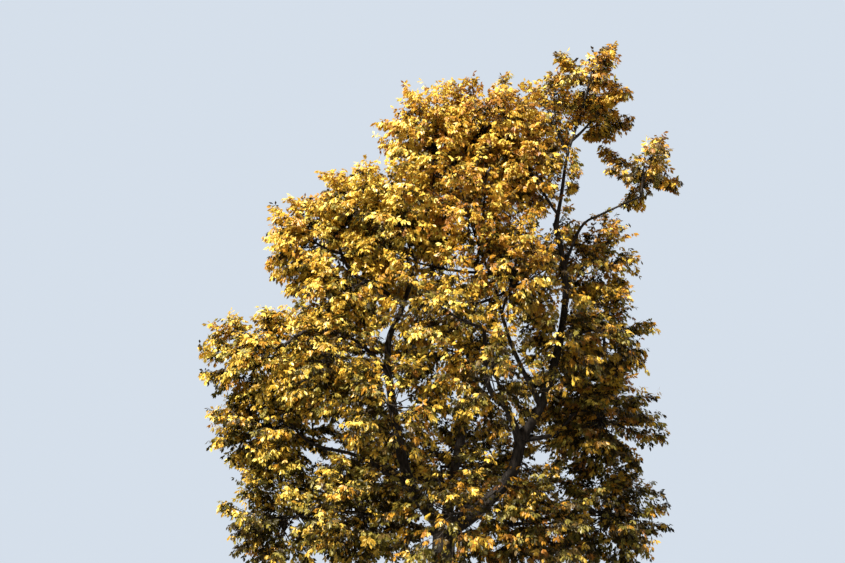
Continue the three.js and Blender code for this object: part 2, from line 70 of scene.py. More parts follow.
# Each limb: its parent, where it leaves that as a share of its length, its thickness at the
# start and at the tip, and the places that it passes through
LIMBS = {
    "right_stem": ("trunk", 0.93, (0.42, 0.31), [(0.8, 0, 3.1), (1.95, 0.05, 4.3), (2.25, 0.1, 5.3)]),
    "left_stem": ("trunk", 0.94, (0.36, 0.22),
                  [(-0.42, 0, 3.37), (-0.9, 0, 4.2), (-1.22, 0, 5.6), (-1.47, -0.1, 7.25)]),
    "back_stem": ("trunk", 0.9, (0.32, 0.2), [(0.3, 0.9, 3.9), (0.75, 2.1, 6.2), (0.9, 2.9, 8.1)]),
    "leader": ("right_stem", 0.985, (0.27, 0.15),
               [(2.85, 0, 6.3), (3.5, 0, 9.1), (3.42, 0, 10.4), (3.24, 0, 11.3)]),
    "leader_top": ("leader", 0.985, (0.13, 0.06), [(3.44, 0, 12.2), (3.6, 0, 13.2), (4.05, 0, 14.6)]),
    "inner_limb": ("right_stem", 0.95, (0.23, 0.1),
                   [(1.85, -0.3, 6.0), (1.35, -0.4, 6.6), (1.2, -0.7, 8.3)]),
    "centre_limb": ("leader", 0.17, (0.17, 0.07),
                    [(2.34, -0.4, 6.95), (1.87, -0.7, 8.0), (1.5, -1.1, 9.3)]),
    "left_upper": ("left_stem", 0.985, (0.2, 0.07),
                   [(-1.42, -0.1, 8.0), (-1.05, -0.1, 8.9), (-0.6, 0.1, 10.4), (-0.1, 0.2, 12.7)]),
    "left_shoulder": ("left_upper", 0.33, (0.15, 0.06),
                      [(-1.85, -0.2, 9.5), (-2.5, -0.3, 9.9), (-2.95, -0.4, 10.9)]),
    "left_bough": ("left_stem", 0.96, (0.14, 0.06),
                   [(-2.1, -0.35, 7.75), (-2.8, -0.5, 8.1), (-3.8, -0.6, 8.15)]),
    "lower_left_bough": ("left_stem", 0.3, (0.16, 0.06),
                         [(-2.3, -0.35, 4.75), (-3.55, -0.5, 5.1), (-4.3, -0.6, 5.85)]),
    "low_left_bough": ("trunk", 0.86, (0.17, 0.06),
                       [(-1.1, -0.3, 3.0), (-2.2, -0.45, 3.2), (-3.5, -0.5, 3.25)]),
    "right_bough": ("leader", 0.8, (0.11, 0.045),
                    [(4.06, 0.1, 11.3), (4.6, 0.15, 11.6), (5.75, 0.3, 12.15)]),
    "right_middle_bough": ("leader", 0.5, (0.12, 0.055), [(3.9, 0.2, 8.2), (4.55, 0.35, 8.4)]),
    "low_right_bough": ("right_stem", 0.97, (0.16, 0.06),
                        [(3.2, 0.1, 5.4), (3.75, 0.1, 5.95), (4.4, 0.1, 6.0)]),
    "low_right_limb": ("trunk", 0.84, (0.18, 0.06),
                       [(1.2, 0.35, 2.75), (2.6, 0.4, 3.0), (4.2, 0.4, 3.35)]),
    "front_bough": ("left_stem", 0.5, (0.15, 0.06), [(-1.15, -1.0, 5.6), (-1.2, -2.4, 6.0)]),
    "front_middle_bough": ("inner_limb", 0.3, (0.13, 0.06), [(1.5, -1.4, 6.8), (1.35, -2.5, 7.0)]),
    "front_low_bough": ("trunk", 0.88, (0.17, 0.06), [(0.4, -0.9, 3.0), (0.75, -2.2, 3.35)]),
    "back_upper": ("back_stem", 0.985, (0.18, 0.07), [(1.0, 2.9, 9.6), (1.3, 2.6, 11.9)]),
    "back_left_bough": ("back_stem", 0.62, (0.14, 0.06), [(-0.6, 2.5, 6.9), (-2.3, 3.5, 7.9)]),
    "back_right_bough": ("back_stem", 0.7, (0.14, 0.06), [(2.1, 3.0, 6.9), (3.5, 3.6, 7.6)]),
    "back_low_bough": ("back_stem", 0.18, (0.16, 0.06), [(0.1, 2.1, 4.1), (0.05, 3.6, 4.7)]),
}
TAPER = 0.8  # under 1, a limb thins sooner near its foot than near its tip
COLLAR = {"swell": 0.45, "length": 2.2}  # by how much a limb swells at its foot, over how many radii

# Each mass of foliage: the limb that its stem leaves, at a share of that limb's length, the
# centre of its space, how far the space reaches sideways and up and down, and last, for the
# looks alone, how full it is
MASSES = {
    "crown_top": ("leader_top", 1, (4.3, -0.2, 15.6), (1.0, 1.05), 0.34),
    "top_right": ("leader_top", 0.72, (4.65, 0.3, 14.75), (0.8, 0.75), 0.34),
    "top_left": ("leader_top", 0.6, (3.1, 0.45, 14.85), (0.95, 1.05), 0.42),
    "dome_middle": ("left_upper", 1, (1.45, -0.3, 14.15), (1.35, 1.35), 1.2),
    "dome_left": ("left_upper", 0.93, (-0.15, 0.1, 13.85), (1.4, 1.4), 1.25),
    "dome_back": ("back_upper", 1, (1.4, 2, 13.5), (1.6, 1.5), 1.0),
    "leader_inner": ("leader_top", 0.1, (2.45, -0.8, 12.8), (1.15, 1.2), 0.9),
    "shoulder_high": ("left_shoulder", 1, (-2.35, 0.1, 11.75), (1.35, 1.2), 1.0),
    "shoulder_left": ("left_shoulder", 0.8, (-3.5, -0.1, 10.75), (1.2, 1.3), 1.0),
    "upper_middle": ("centre_limb", 1, (0.6, -1.55, 11.8), (1.5, 1.4), 1.0),
    "upper_left": ("left_upper", 0.55, (-1.15, -1.35, 11.3), (1.35, 1.4), 1.0),
    "right_tip": ("right_bough", 1, (5.8, 0.3, 12.95), (1.2, 0.9), 0.34),
    "leader_right": ("leader", 0.72, (4.3, 0.5, 10.3), (1.05, 1.3), 0.55),
    "centre_front": ("centre_limb", 0.8, (2.0, -2.3, 9.8), (1.35, 1.35), 1.0),
    "heart_front": ("inner_limb", 1, (-0.2, -2.8, 8.7), (1.5, 1.4), 0.65),
    "shoulder_low": ("left_shoulder", 0.42, (-2.65, -0.9, 9.3), (1.35, 1.2), 1.0),
    "left_lobe": ("left_bough", 1, (-5, -0.1, 7.55), (1.55, 1.2), 1.0),
    "left_middle": ("left_bough", 0.6, (-3.0, -1.9, 7.1), (1.45, 1.35), 1.0),
    "left_low": ("lower_left_bough", 1, (-4.7, 0.2, 5.6), (1.45, 1.3), 1.25),
    "right_middle": ("right_middle_bough", 1, (4.65, 0.9, 8.2), (1.25, 1.6), 0.65),
    "front_middle": ("front_middle_bough", 1, (1.25, -3.4, 6.6), (1.5, 1.4), 0.75),
    "front_left": ("front_bough", 1, (-1.35, -3.3, 5.9), (1.45, 1.4), 0.8),
    "inner_right": ("leader", 0.4, (3.3, -1.5, 7.9), (1.2, 1.4), 0.6),
    "right_low": ("low_right_bough", 1, (4.5, 0.6, 5.8), (1.5, 1.5), 1.0),
    "low_left_tip": ("low_left_bough", 1, (-4.2, 0.0, 3.1), (1.5, 1.5), 1.1),
    "low_front_left": ("low_left_bough", 0.6, (-2.1, -2.4, 3.2), (1.5, 1.5), 1.0),
    "low_front": ("front_low_bough", 1, (0.3, -3.4, 3.1), (1.5, 1.6), 1.0),
    "low_front_right": ("front_low_bough", 0.7, (2.6, -2.3, 2.9), (1.5, 1.5), 0.9),
    "low_right_tip": ("low_right_limb", 1, (4.6, 0.8, 3.2), (1.5, 1.5), 1.1),
    "back_upper_left": ("back_upper", 0.6, (-1.5, 2.3, 10.9), (1.7, 1.6), 1.0),
    "back_upper_right": ("back_upper", 0.35, (3.2, 2.6, 10.5), (1.65, 1.7), 0.6),
    "back_left": ("back_left_bough", 1, (-3.3, 3, 8), (1.75, 1.7), 1.1),
    "back_middle": ("back_stem", 0.97, (0.2, 4.1, 8.3), (1.8, 1.7), 1.0),
    "back_right": ("back_right_bough", 1, (3.95, 3.3, 6.8), (1.7, 1.7), 1.1),
    "back_low_left": ("back_low_bough", 0.6, (-1.8, 3.1, 4.7), (1.8, 1.6), 1.3),
    "back_low_right": ("back_low_bough", 1, (1.45, 4.2, 4.9), (1.8, 1.6), 1.1),
}
FULLNESS = 1.2  # how far neighbouring spaces reach into each other before they are parted
SEED = 1807
GOLDEN_ANGLE = math.pi * (3 - math.sqrt(5))
UP = np.array([0.0, 0.0, 1.0])

# Places in the crown that stay open but for a few twigs, each an oval seen from the front: its
# middle and half sizes
SKY_GAPS = [
    ((2.35, 15.6), (0.4, 0.45)),
    ((5.15, 15.6), (0.45, 0.2)),
    ((4.4, 12.6), (0.4, 1.0)),
    ((3.1, 11.6), (0.35, 0.3)),
    ((4.35, 9.9), (0.4, 0.3)),
    ((3.2, 9.2), (0.55, 0.4)),
    ((-0.5, 11.2), (0.25, 0.2)),
    ((-2.9, 10.4), (0.4, 0.6)),
    ((-3.9, 7.4), (0.3, 0.3)),
    ((-1.0, 6.6), (0.3, 0.45)),
    ((2.7, 7.5), (0.2, 0.4)),
]
LEFT_IN_GAP = 0.16  # share of the twigs there that stay

# Limbs that show from the front, each from one share of its length to another
BARE_LIMBS = {
    "trunk": (0.8, 1.0),
    "right_stem": (0.0, 1.0),
    "left_stem": (0.0, 1.0),
    "leader": (0.0, 1.0),
    "leader_top": (0.0, 0.7),
    "inner_limb": (0.0, 0.7),
    "centre_limb": (0.1, 0.8),
    "left_upper": (0.1, 0.55),
    "left_shoulder": (0.2, 0.8),
    "left_bough": (0.2, 0.8),
    "lower_left_bough": (0.2, 0.9),
    "right_bough": (0.0, 1.0),
    "low_right_bough": (0.0, 0.7),
}
STEM_SHOWN = 0.8  # share of each mass's stem that shows too
PARTING = 0.12  # how far to either side of a limb that shows the leaves before it part
STEM_EASED = 0.2  # by which share of that they part less beside a stem
LEFT_IN_PARTING = 0.15  # share of the leaves there that stay
BARE_SPACING = 0.12  # from one tested point to the next along a limb or stem that shows
LIMB_SPACING = 0.15  # the same along every limb, to keep leaves off its bark
CLEAR_OF_LIMB = 0.06  # least distance from the bark to the middle of a leaf

BARK = {
    "depth": 0.024,  # of a furrow
    "of_radius": 0.08,  # the most that this may be of the limb's radius
    "cell": 0.062,  # from one furrow to the next round the limb
    "edge": 0.45,  # how far up from the furrow the flat top of a ridge begins
    "roundness": 0.6,  # under 1, a ridge rises steeply and rounds off
    "slant": 0.2,  # how far a furrow drifts sideways for each metre along
    "thinnest": 0.04,  # least radius that the slant is worked out for
    "cross_sway": 1.3,  # how much more the second set of furrows sways than the first
    "measured_at": 0.3,  # share of a limb's length where the radius sets how fine its mesh is
    "coarse": 0.04,  # radius with the coarsest mesh
    "fine": 0.16,  # radius with the finest
    "around": (0.03, 0.017),  # size of a face round the limb, coarsest and finest
    "along": (0.09, 0.04),  # and along it
    "fewest_sides": 9,
    "fewest_rings": 6,
    "lump": 0.03,  # slow lumps along a limb, as a share of its radius
    "lump_turn": 5.3,  # how fast the lumps follow each other
    "phase": 1.7,  # shift of the pattern from one limb to the next
}
# Waves that sway the furrows: size, turns round the limb, turn for each metre along, phases
SWAYS = [(0.5, 2, 2.1, 1), (0.4, 3, -3.7, 2), (0.35, 0, 9.0, 1)]
FOOT_CUT = TRUNK["flare_height"] / 12  # bark below this height is brought level with the ground

# Wood of a mass: where each kind leaves the one before, how it heads off and bends, how thick it
# is at its start and tip, and the rings and sides of its tube
STEM = {"past": 0.2, "sag": 0.1, "last_seat": 0.985, "places": 9, "samples": 6,
        "thick": (0.095, 0.035), "rings": 8, "sides": 6}
BRANCHLET = {"count": 21, "on_stem": (0.3, 0.97), "stride": 0.618, "spread": (0.64, 0.9), "wander": 0.8,
             "sag": 0.08, "bend": 0.06, "thick": (0.042, 0.015), "rings": 5, "sides": 4}
TWIG = {"count": 11, "on_branchlet": (0.25, 1.0), "jitter": 0.5, "length": (0.5, 0.95),
        "longest": 1.1, "shorter_by": 0.4, "onward": 0.75, "sideways": (0.6, 1.1), "last_aside": 0.25,
        "rise": (-0.35, 0.55), "outward": 0.45, "stray": 0.25, "sag": 0.1, "across": 0.15,
        "thick": (0.013, 0.006), "rings": 3, "sides": 3}
# A line that leaves its space is cut to this share of its length, up to so many times over
PULL = {"tries": 6, "share": 0.82}

# Leaves: how many on a twig and in a spray of one tint, how each heads off and faces, and how far
# it may reach past its space's borders to its neighbours and to the outside
LEAF = {"count": 11, "in_spray": 3, "on_twig": (0.2, 1.0), "jitter": 0.08, "onward": (0.3, 1.0),
        "last_aside": 0.1, "droop": (-0.2, 0.7), "outward": 0.35, "stray": 0.3, "face_outward": 0.7,
        "face_up": 0.8, "face_stray": 0.4, "across": 0.3, "beyond": 0.12}
STALK = {"length": (0.11, 0.18), "width": 0.006, "sag": 0.12}
# Leaflets: length, half width as a share of it, how they hang, stray and twist, and how they fold
# along their middle and curl down
LEAFLET = {"length": (0.13, 0.178), "half_width": 0.235, "hang": (0.25, 1.3), "stray": 0.18,
           "twist": 0.5, "fold": 0.09, "curl": 0.18}
# Leaflets of one leaf: how far along the stalk, angle to it in degrees, and size
LEAFLETS = [(0.55, 55, 0.7), (0.55, -55, 0.7), (0.95, 38, 0.92), (0.95, -38, 0.92), (1.0, 0, 1.0)]
# Outline of a leaflet of length 1: share of its length, and share of its half width
OUTLINE = [(0.0, 0.0), (0.55, 1.0), (1.0, 0.0), (0.55, -1.0)]
LEAFLET_FACES = [(0, 2, 1), (0, 3, 2)]

# Autumn tints: colour, how common, and how that changes to the right, higher up, further in,
# towards the spire, which is both high and to the right, and in the warm patches. The pale tints
# grow commoner higher up and to the left and the dark ones lower down, further in and to the
# right, which paints the sunlit top and left side and the shade low down, deep in the crown and
# on the right. Towards the spire the tints turn browner, partly the leaves' own orange-brown and
# partly painted shade, and the warm patches are the leaves' own orange.
TINTS = {
    "gold": ("#CEA83A", 0.24, -0.07, 0.22, -0.10, -0.20, 0.00),
    "honey": ("#B69230", 0.20, -0.02, 0.06, -0.04, -0.10, 0.00),
    "yellow": ("#DDC456", 0.18, -0.14, 0.22, -0.14, -0.26, -0.07),
    "amber": ("#B07E22", 0.12, 0.03, 0.09, 0.00, 0.25, 0.14),
    "olive": ("#7E7230", 0.15, 0.10, -0.20, 0.10, 0.10, -0.12),
    "russet": ("#8F5E20", 0.03, 0.05, 0.05, 0.02, 0.20, 0.10),
    "brown": ("#604C24", 0.05, 0.06, -0.04, 0.08, 0.36, 0.00),
    # The last two are dark tints of painted shade, dealt mostly deep in the crown and low down
    "painted_shade_olive": ("#352E08", 0.11, 0.00, -0.22, 0.24, 0.06, -0.03),
    "painted_shade_brown": ("#2A2008", 0.08, 0.02, -0.17, 0.20, 0.20, 0.00),
}
# Warm patches, each an oval seen from the front: its middle and half sizes
WARM_PATCHES = [((1.5, 12.4), (1.7, 3.2)), ((1.4, 3.0), (1.9, 1.3))]
# What right and high are measured by: where the crown's middle is, its half width and half height
CROWN = {"middle": 0.2, "half_width": 6.8, "half_height": 8.3}

# Leaves: how rough they are, the gloss of a dark and of a pale tint, and how much light comes
# through them
LEAF_LOOK = {"roughness": 0.42, "gloss": (0.15, 0.75), "through": 0.3}
# Bark colours: its dark and its pale streaks, and how fine these are. The limbs' bark is near
# black, darker than the hickory's own grey, to paint the shade that the crown casts on it.
BARK_COLOURS = {"hickory_bark": ("#120F0D", "#3A332D", 20), "twig_bark": ("#16110D", "#322A21", 30)}
BARK_LOOK = {"stretch": (1, 1, 0.25), "detail": 6, "grain": 0.65, "stops": (0.35, 0.68),
             "roughness": 0.9, "specular": 0.25, "bump": 0.5, "bump_depth": 0.008}

EYE = np.array([-0.49, -50.0, 1.6])
PITCH = math.radians(9.13)  # how far the camera looks up
FRAME_WIDTH = 845  # the picture's width and the focal length, both in pixels
FOCAL_PIXELS = 1810
SENSOR = 36.0  # in millimetres
CLIP_END = 500
FLOOR = {"half": 300.0, "colour": (0.22, 0.22, 0.215, 1), "roughness": 0.9}
# Soft light from all round, and what the camera sees past the tree: colour and strength
AMBIENT = ((0.95, 0.9, 0.8, 1), 0.24)
BACKDROP = ((0.74, 0.82, 0.92, 1), 0.9)
# Each light: strength, how wide it is in degrees, colour, tilt from straight above and turn
LIGHTS = {
    "key": (14.0, 2, (1.0, 0.97, 0.9), 42, -46),
    "fill": (1.6, 60, (0.95, 0.95, 1.0), 60, 140),
}

CHUNK = 4000  # points tested at a time, to keep memory small
STEEP = 0.9  # a line this near to upright takes its first square direction from the side
TINY = 1e-9  # least length that is divided by
CLOSE = 1e-4  # least distance between places on a route


# Curves

def unit(vectors):
    return vectors / np.maximum(np.linalg.norm(vectors, axis=-1, keepdims=True), TINY)


def between(span, share):
    return span[0] + (span[1] - span[0]) * share


class Route:
    """A smooth curve through places, read by share of its length."""

    def __init__(self, places, samples=48):
        places = np.array(places, float)
        ends = (2 * places[0] - places[1], 2 * places[-1] - places[-2])
        knots = np.vstack([ends[0], places, ends[1]])
        t = np.linspace(0, 1, samples, endpoint=False)[:, None]
        dense = [self.piece(*knots[i:i + 4], t) for i in range(len(places) - 1)]
        self.points = np.vstack([*dense, places[-1:]])
        steps = np.linalg.norm(np.diff(self.points, axis=0), axis=1)
        lengths = np.concatenate([[0], np.cumsum(steps)])
        self.length = lengths[-1]
        self.shares = lengths / self.length

    @staticmethod
    def piece(before, start, end, after, t):
        """One stretch of a centripetal Catmull-Rom curve."""
        d0, d1, d2 = (max(np.linalg.norm(b - a), CLOSE) ** 0.5
                      for a, b in ((before, start), (start, end), (end, after)))
        m1 = d1 * ((start - before) / d0 - (end - before) / (d0 + d1) + (end - start) / d1)
        m2 = d1 * ((end - start) / d1 - (after - start) / (d1 + d2) + (after - end) / d2)
        return (start + m1 * t + (3 * (end - start) - 2 * m1 - m2) * t ** 2
                + (2 * (start - end) + m1 + m2) * t ** 3)

    def at(self, share):
        return np.stack([np.interp(share, self.shares, self.points[:, k]) for k in range(3)], -1)


def bezier(start, bend, end, count):
    """Points on many bent lines at once: (lines, count, 3)."""
    t = np.linspace(0, 1, count)[None, :, None]
    a, b, c = (p[:, None, :] for p in (start, bend, end))
    return a * (1 - t) ** 2 + 2 * b * t * (1 - t) + c * t ** 2


def on_lines(lines, parent, share):
    """Points on bent lines, each at a share of its parent's length, and the direction there."""
    position = share * (lines.shape[1] - 1)
    low = np.minimum(position.astype(int), lines.shape[1] - 2)
    part = (position - low)[:, None]
    points = lines[parent, low] * (1 - part) + lines[parent, low + 1] * part
    return points, unit(lines[parent, low + 1] - lines[parent, low])


def numbered(count, per):
    """For each of per things on each of count parents: its parent and its order there."""
    return np.repeat(np.arange(count), per), np.tile(np.arange(per), count)


def to_either_side(along, order, per, last):
    """Level directions to one side and the other in turn, shorter for the last in the order."""
    side = np.where(order % 2 == 0, 1.0, -1.0) * np.where(order == per - 1, last, 1.0)
    return unit(np.cross(along, UP)) * side[:, None]


# Meshes

def new_piece(name, corners, faces, material, smooth):
    """One object from corner points and faces, which may mix triangles and quads."""
    mesh = bpy.data.meshes.new(name)
    sizes = np.concatenate([np.full(len(f), f.shape[1]) for f in faces])
    loops = np.concatenate([f.ravel() for f in faces]).astype(np.int32)
    mesh.vertices.add(len(corners))
    mesh.vertices.foreach_set("co", corners.astype(np.float32).ravel())
    mesh.loops.add(len(loops))
    mesh.loops.foreach_set("vertex_index", loops)
    mesh.polygons.add(len(sizes))
    starts = np.concatenate([[0], np.cumsum(sizes)[:-1]]).astype(np.int32)
    mesh.polygons.foreach_set("loop_start", starts)
    mesh.polygons.foreach_set("use_smooth", np.full(len(sizes), smooth))
    mesh.update(calc_edges=True)
    mesh.materials.append(material)
    piece = bpy.data.objects.new(name, mesh)
    bpy.context.scene.collection.objects.link(piece)
    return piece


def frames_along(centres):
    """Two directions square to each line at each of its points, carried along without twist."""
    tangents = unit(np.gradient(centres, axis=1))
    first = tangents[:, 0]
    aside = np.where(np.abs(first[:, 2:]) < STEEP, UP, np.array([1.0, 0.0, 0.0]))
    normal = unit(np.cross(first, aside))
    normals = []
    for k in range(centres.shape[1]):
        tangent = tangents[:, k]
        normal = unit(normal - (normal * tangent).sum(-1, keepdims=True) * tangent)
        normals.append(normal)
    normals = np.stack(normals, 1)
    return normals, np.cross(tangents, normals)


def tubes(centres, radii, sides):
    """Corners and faces of many closed tubes. radii is (lines, rings) or (lines, rings, sides)."""
    lines, rings, _ = centres.shape
    if radii.ndim == 2:
        radii = np.repeat(radii[:, :, None], sides, axis=2)
    angle = np.arange(sides) * 2 * math.pi / sides
    normals, others = frames_along(centres)
    corners = (centres[:, :, None]
               + normals[:, :, None] * (np.cos(angle)[:, None] * radii[..., None])
               + others[:, :, None] * (np.sin(angle)[:, None] * radii[..., None]))
    index = np.arange(lines * rings * sides).reshape(lines, rings, sides)
    ahead = np.roll(index, -1, axis=2)
    quads = np.stack([index[:, :-1], ahead[:, :-1], ahead[:, 1:], index[:, 1:]], -1).reshape(-1, 4)
    caps = np.concatenate([index[:, 0, ::-1], index[:, -1]])
    return corners.reshape(-1, 3), [quads, caps]


def joined(parts):
    """Corners and faces of several meshes as one."""
    corners, faces, count = [], {}, 0
    for some_corners, some_faces in parts:
        corners.append(some_corners)
        for f in some_faces:
            faces.setdefault(f.shape[1], []).append(f + count)
        count += len(some_corners)
    return np.vstack(corners), [np.vstack(f) for f in faces.values()]


# Limbs and their bark

def trunk_radius(share, angle):
    height = share * TRUNK["lean"][-1][2]
    swelling = TRUNK["flare"] * np.exp(-height / TRUNK["flare_height"])
    lobes = 1 + TRUNK["flare_lobe_depth"] * np.cos(TRUNK["flare_lobes"] * angle)
    return between((TRUNK["foot_radius"], TRUNK["fork_radius"]), share) + swelling * lobes


def limb_radius(thick, length):
    start, end = thick[0] / 2, thick[1] / 2

    def radius(share, angle):
        taper = start + (end - start) * share ** TAPER
        collar = 1 + COLLAR["swell"] * np.exp(-share * length / (COLLAR["length"] * start))
        return taper * collar + 0 * angle
    return radius


def grow_limbs():
    routes = {"trunk": Route(TRUNK["lean"])}
    radii = {"trunk": trunk_radius}
    for name, (parent, share, thick, places) in LIMBS.items():
        routes[name] = Route([routes[parent].at(share), *places])
        radii[name] = limb_radius(thick, routes[name].length)
    return routes, radii


def bark_height(angle, along, radius, phase):
    """Height of the bark from 0 in a furrow to 1 on a ridge: two slanting sets of furrows that
    cross and leave long narrow lozenges between them."""
    count = max(3, round(2 * math.pi * float(np.mean(radius)) / (2 * BARK["cell"])))
    climb = BARK["slant"] * count / np.maximum(radius, BARK["thinnest"])
    sway = sum(size * np.sin(turns * angle + per_metre * along + phases * phase)
               for size, turns, per_metre, phases in SWAYS)
    one = np.abs(np.sin(count * angle + climb * along + sway))
    two = np.abs(np.sin(count * angle - climb * along + BARK["cross_sway"] * sway + phase))
    return np.clip(np.minimum(one, two) / BARK["edge"], 0, 1) ** BARK["roundness"]


def bark_tube(route, radius_at, phase):
    """A limb of bark, its mesh finer the thicker the limb is."""
    widest = float(np.max(radius_at(np.array([BARK["measured_at"]]), np.array([0.0]))))
    fineness = np.clip((widest - BARK["coarse"]) / (BARK["fine"] - BARK["coarse"]), 0, 1)
    rings = max(BARK["fewest_rings"], round(route.length / between(BARK["along"], fineness)))
    around = 2 * math.pi * widest
    sides = max(BARK["fewest_sides"], round(around / between(BARK["around"], fineness)))
    shares = np.linspace(0, 1, rings)
    share = shares[:, None]
    angle = np.arange(sides) * 2 * math.pi / sides
    radius = radius_at(share, angle[None, :])
    mean = radius.mean(1, keepdims=True)
    depth = np.minimum(BARK["depth"], BARK["of_radius"] * mean)
    height = bark_height(angle[None, :], share * route.length, mean, phase)
    wave = np.sin(BARK["lump_turn"] * share * route.length + phase + np.sin(angle + phase))
    radius = radius - depth * (1 - height) + BARK["lump"] * mean * wave
    return tubes(route.at(shares)[None], radius[None], sides)


def bark_piece(routes, radii, material):
    parts = [bark_tube(routes[name], radii[name], BARK["phase"] * k) for k, name in enumerate(routes)]
    corners, faces = joined(parts)
    corners[corners[:, 2] < FOOT_CUT, 2] = 0
    return new_piece("bark", corners, faces, material, True)


# Spaces: a mass keeps within its own oval, on its own side of the plane to each neighbour

CENTRES = np.array([mass[2] for mass in MASSES.values()], float)
REACHES = np.array([[mass[3][0], mass[3][0], mass[3][1]] for mass in MASSES.values()]) * FULLNESS


def reach_of(offset, index):
    """A space's reach on the sides that offset points to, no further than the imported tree's box."""
    ahead = np.minimum(REACHES[index], cad_high - CENTRES[index])
    behind = np.minimum(REACHES[index], CENTRES[index] - cad_low)
    return np.where(offset > 0, ahead, behind)


def in_space(points, index, across, beyond):
    """Which points lie in a mass's space, with the borders to its neighbours moved out by across
    and its outer border by beyond."""
    offset = points - CENTRES[index]
    inside = ((offset / (reach_of(offset, index) + beyond)) ** 2).sum(-1) <= 1
    power = ((points[:, None] - CENTRES) ** 2).sum(-1) - REACHES[:, 0] ** 2
    apart = np.linalg.norm(CENTRES - CENTRES[index], axis=-1)
    others = np.arange(len(CENTRES)) != index
    near = power[:, others] - power[:, index:index + 1] >= -2 * across * apart[others]
    return inside & near.all(1)


def in_box(points):
    return ((points > cad_low) & (points < cad_high)).all(-1)


def pulled_in(starts, ends, index, across):
    """Ends of lines moved back towards their starts until they lie in the mass's space."""
    ends = ends.copy()
    for _ in range(PULL["tries"]):
        out = ~in_space(ends, index, across, 0.0)
        ends[out] = starts[out] + PULL["share"] * (ends[out] - starts[out])
    return ends


def seen_from_front(points):
    """Where points appear on the upright plane through the trunk, (points, 2)."""
    scale = -EYE[1] / (points[:, 1] - EYE[1])
    return EYE[[0, 2]] + (points[:, [0, 2]] - EYE[[0, 2]]) * scale[:, None]


def in_ovals(points, ovals):
    """Which points lie in front of or behind some oval, as seen from the front."""
    seen = seen_from_front(points)
    hit = np.zeros(len(points), bool)
    for middle, half_sizes in ovals:
        hit |= (((seen - middle) / half_sizes) ** 2).sum(-1) < 1
    return hit


# Leaves beside and before the limbs

def limb_samples(routes, radii, spans, spacing):
    """Points down the middle of limbs, each over a span of its length, and the radius there."""
    centres, widths = [], []
    for name, (first, last) in spans.items():
        shares = np.linspace(first, last, max(2, round(routes[name].length / spacing)))
        centres.append(routes[name].at(shares))
        widths.append(radii[name](shares, np.zeros(len(shares))))
    return np.vstack(centres), np.concatenate(widths)


def bare_samples(routes, radii, stems):
    """The same for the limbs and stems that show, a stem's radius less what its parting is eased."""
    limb_centres, limb_widths = limb_samples(routes, radii, BARE_LIMBS, BARE_SPACING)
    centres, widths = [limb_centres], [limb_widths]
    for stem in stems:
        shares = np.linspace(0, STEM_SHOWN, round(stem.length / BARE_SPACING))
        centres.append(stem.at(shares))
        widths.append(between(STEM["thick"], shares) / 2 - STEM_EASED * PARTING)
    return np.vstack(centres), np.concatenate(widths)


def by_chunks(test, points):
    return np.concatenate([test(points[k:k + CHUNK]) for k in range(0, max(len(points), 1), CHUNK)])


def before_bare_limb(points, samples):
    """Which points hide a limb that shows from the front."""
    centres, widths = samples
    seen_limbs = seen_from_front(centres)

    def hides(some):
        gap = np.linalg.norm(seen_from_front(some)[:, None] - seen_limbs, axis=-1) - widths
        return ((gap < PARTING) & (some[:, None, 1] < centres[:, 1])).any(1)
    return by_chunks(hides, points)


def clear_of_limbs(points, samples):
    centres, widths = samples

    def clear(some):
        gap = np.linalg.norm(some[:, None] - centres, axis=-1) - widths
        return gap.min(1) > CLEAR_OF_LIMB
    return by_chunks(clear, points)


# Growth of one mass: a stem, branchlets that leave it, twigs on these and leaves on the twigs

def even_directions(count, chance):
    """Directions spread evenly over a ball, turned a little by chance."""
    k = np.arange(count)
    height = 1 - 2 * (k + 0.5) / count
    turn = k * GOLDEN_ANGLE + BRANCHLET["wander"] * chance.random(count)
    ring = np.sqrt(1 - height ** 2)
    return np.stack([ring * np.cos(turn), ring * np.sin(turn), height], -1)


def stem_of(mass, routes):
    limb, share, centre, reach, _ = mass
    start = routes[limb].at(min(share, STEM["last_seat"]))
    end = np.array(centre, float)
    span = end - start
    end = end + STEM["past"] * reach[1] * FULLNESS * unit(span)
    bend = (start + np.array(centre)) / 2 - STEM["sag"] * np.linalg.norm(span) * UP
    return Route(bezier(start[None], bend[None], end[None], STEM["places"])[0], STEM["samples"])


def branchlets_of(index, fullness, stem, chance):
    count = round(BRANCHLET["count"] * fullness)
    outward = even_directions(count, chance)
    share = between(BRANCHLET["on_stem"], (np.arange(count) * BRANCHLET["stride"]) % 1)
    starts = stem.at(share)
    spread = between(BRANCHLET["spread"], chance.random((count, 1)))
    ends = CENTRES[index] + outward * reach_of(outward, index) * spread
    ends = pulled_in(starts, ends, index, 0.0)
    length = np.linalg.norm(ends - starts, axis=-1, keepdims=True)
    bends = (starts + ends) / 2 - BRANCHLET["sag"] * length * UP
    bends = bends + BRANCHLET["bend"] * length * chance.normal(size=(count, 3))
    return bezier(starts, bends, ends, BRANCHLET["rings"]), outward


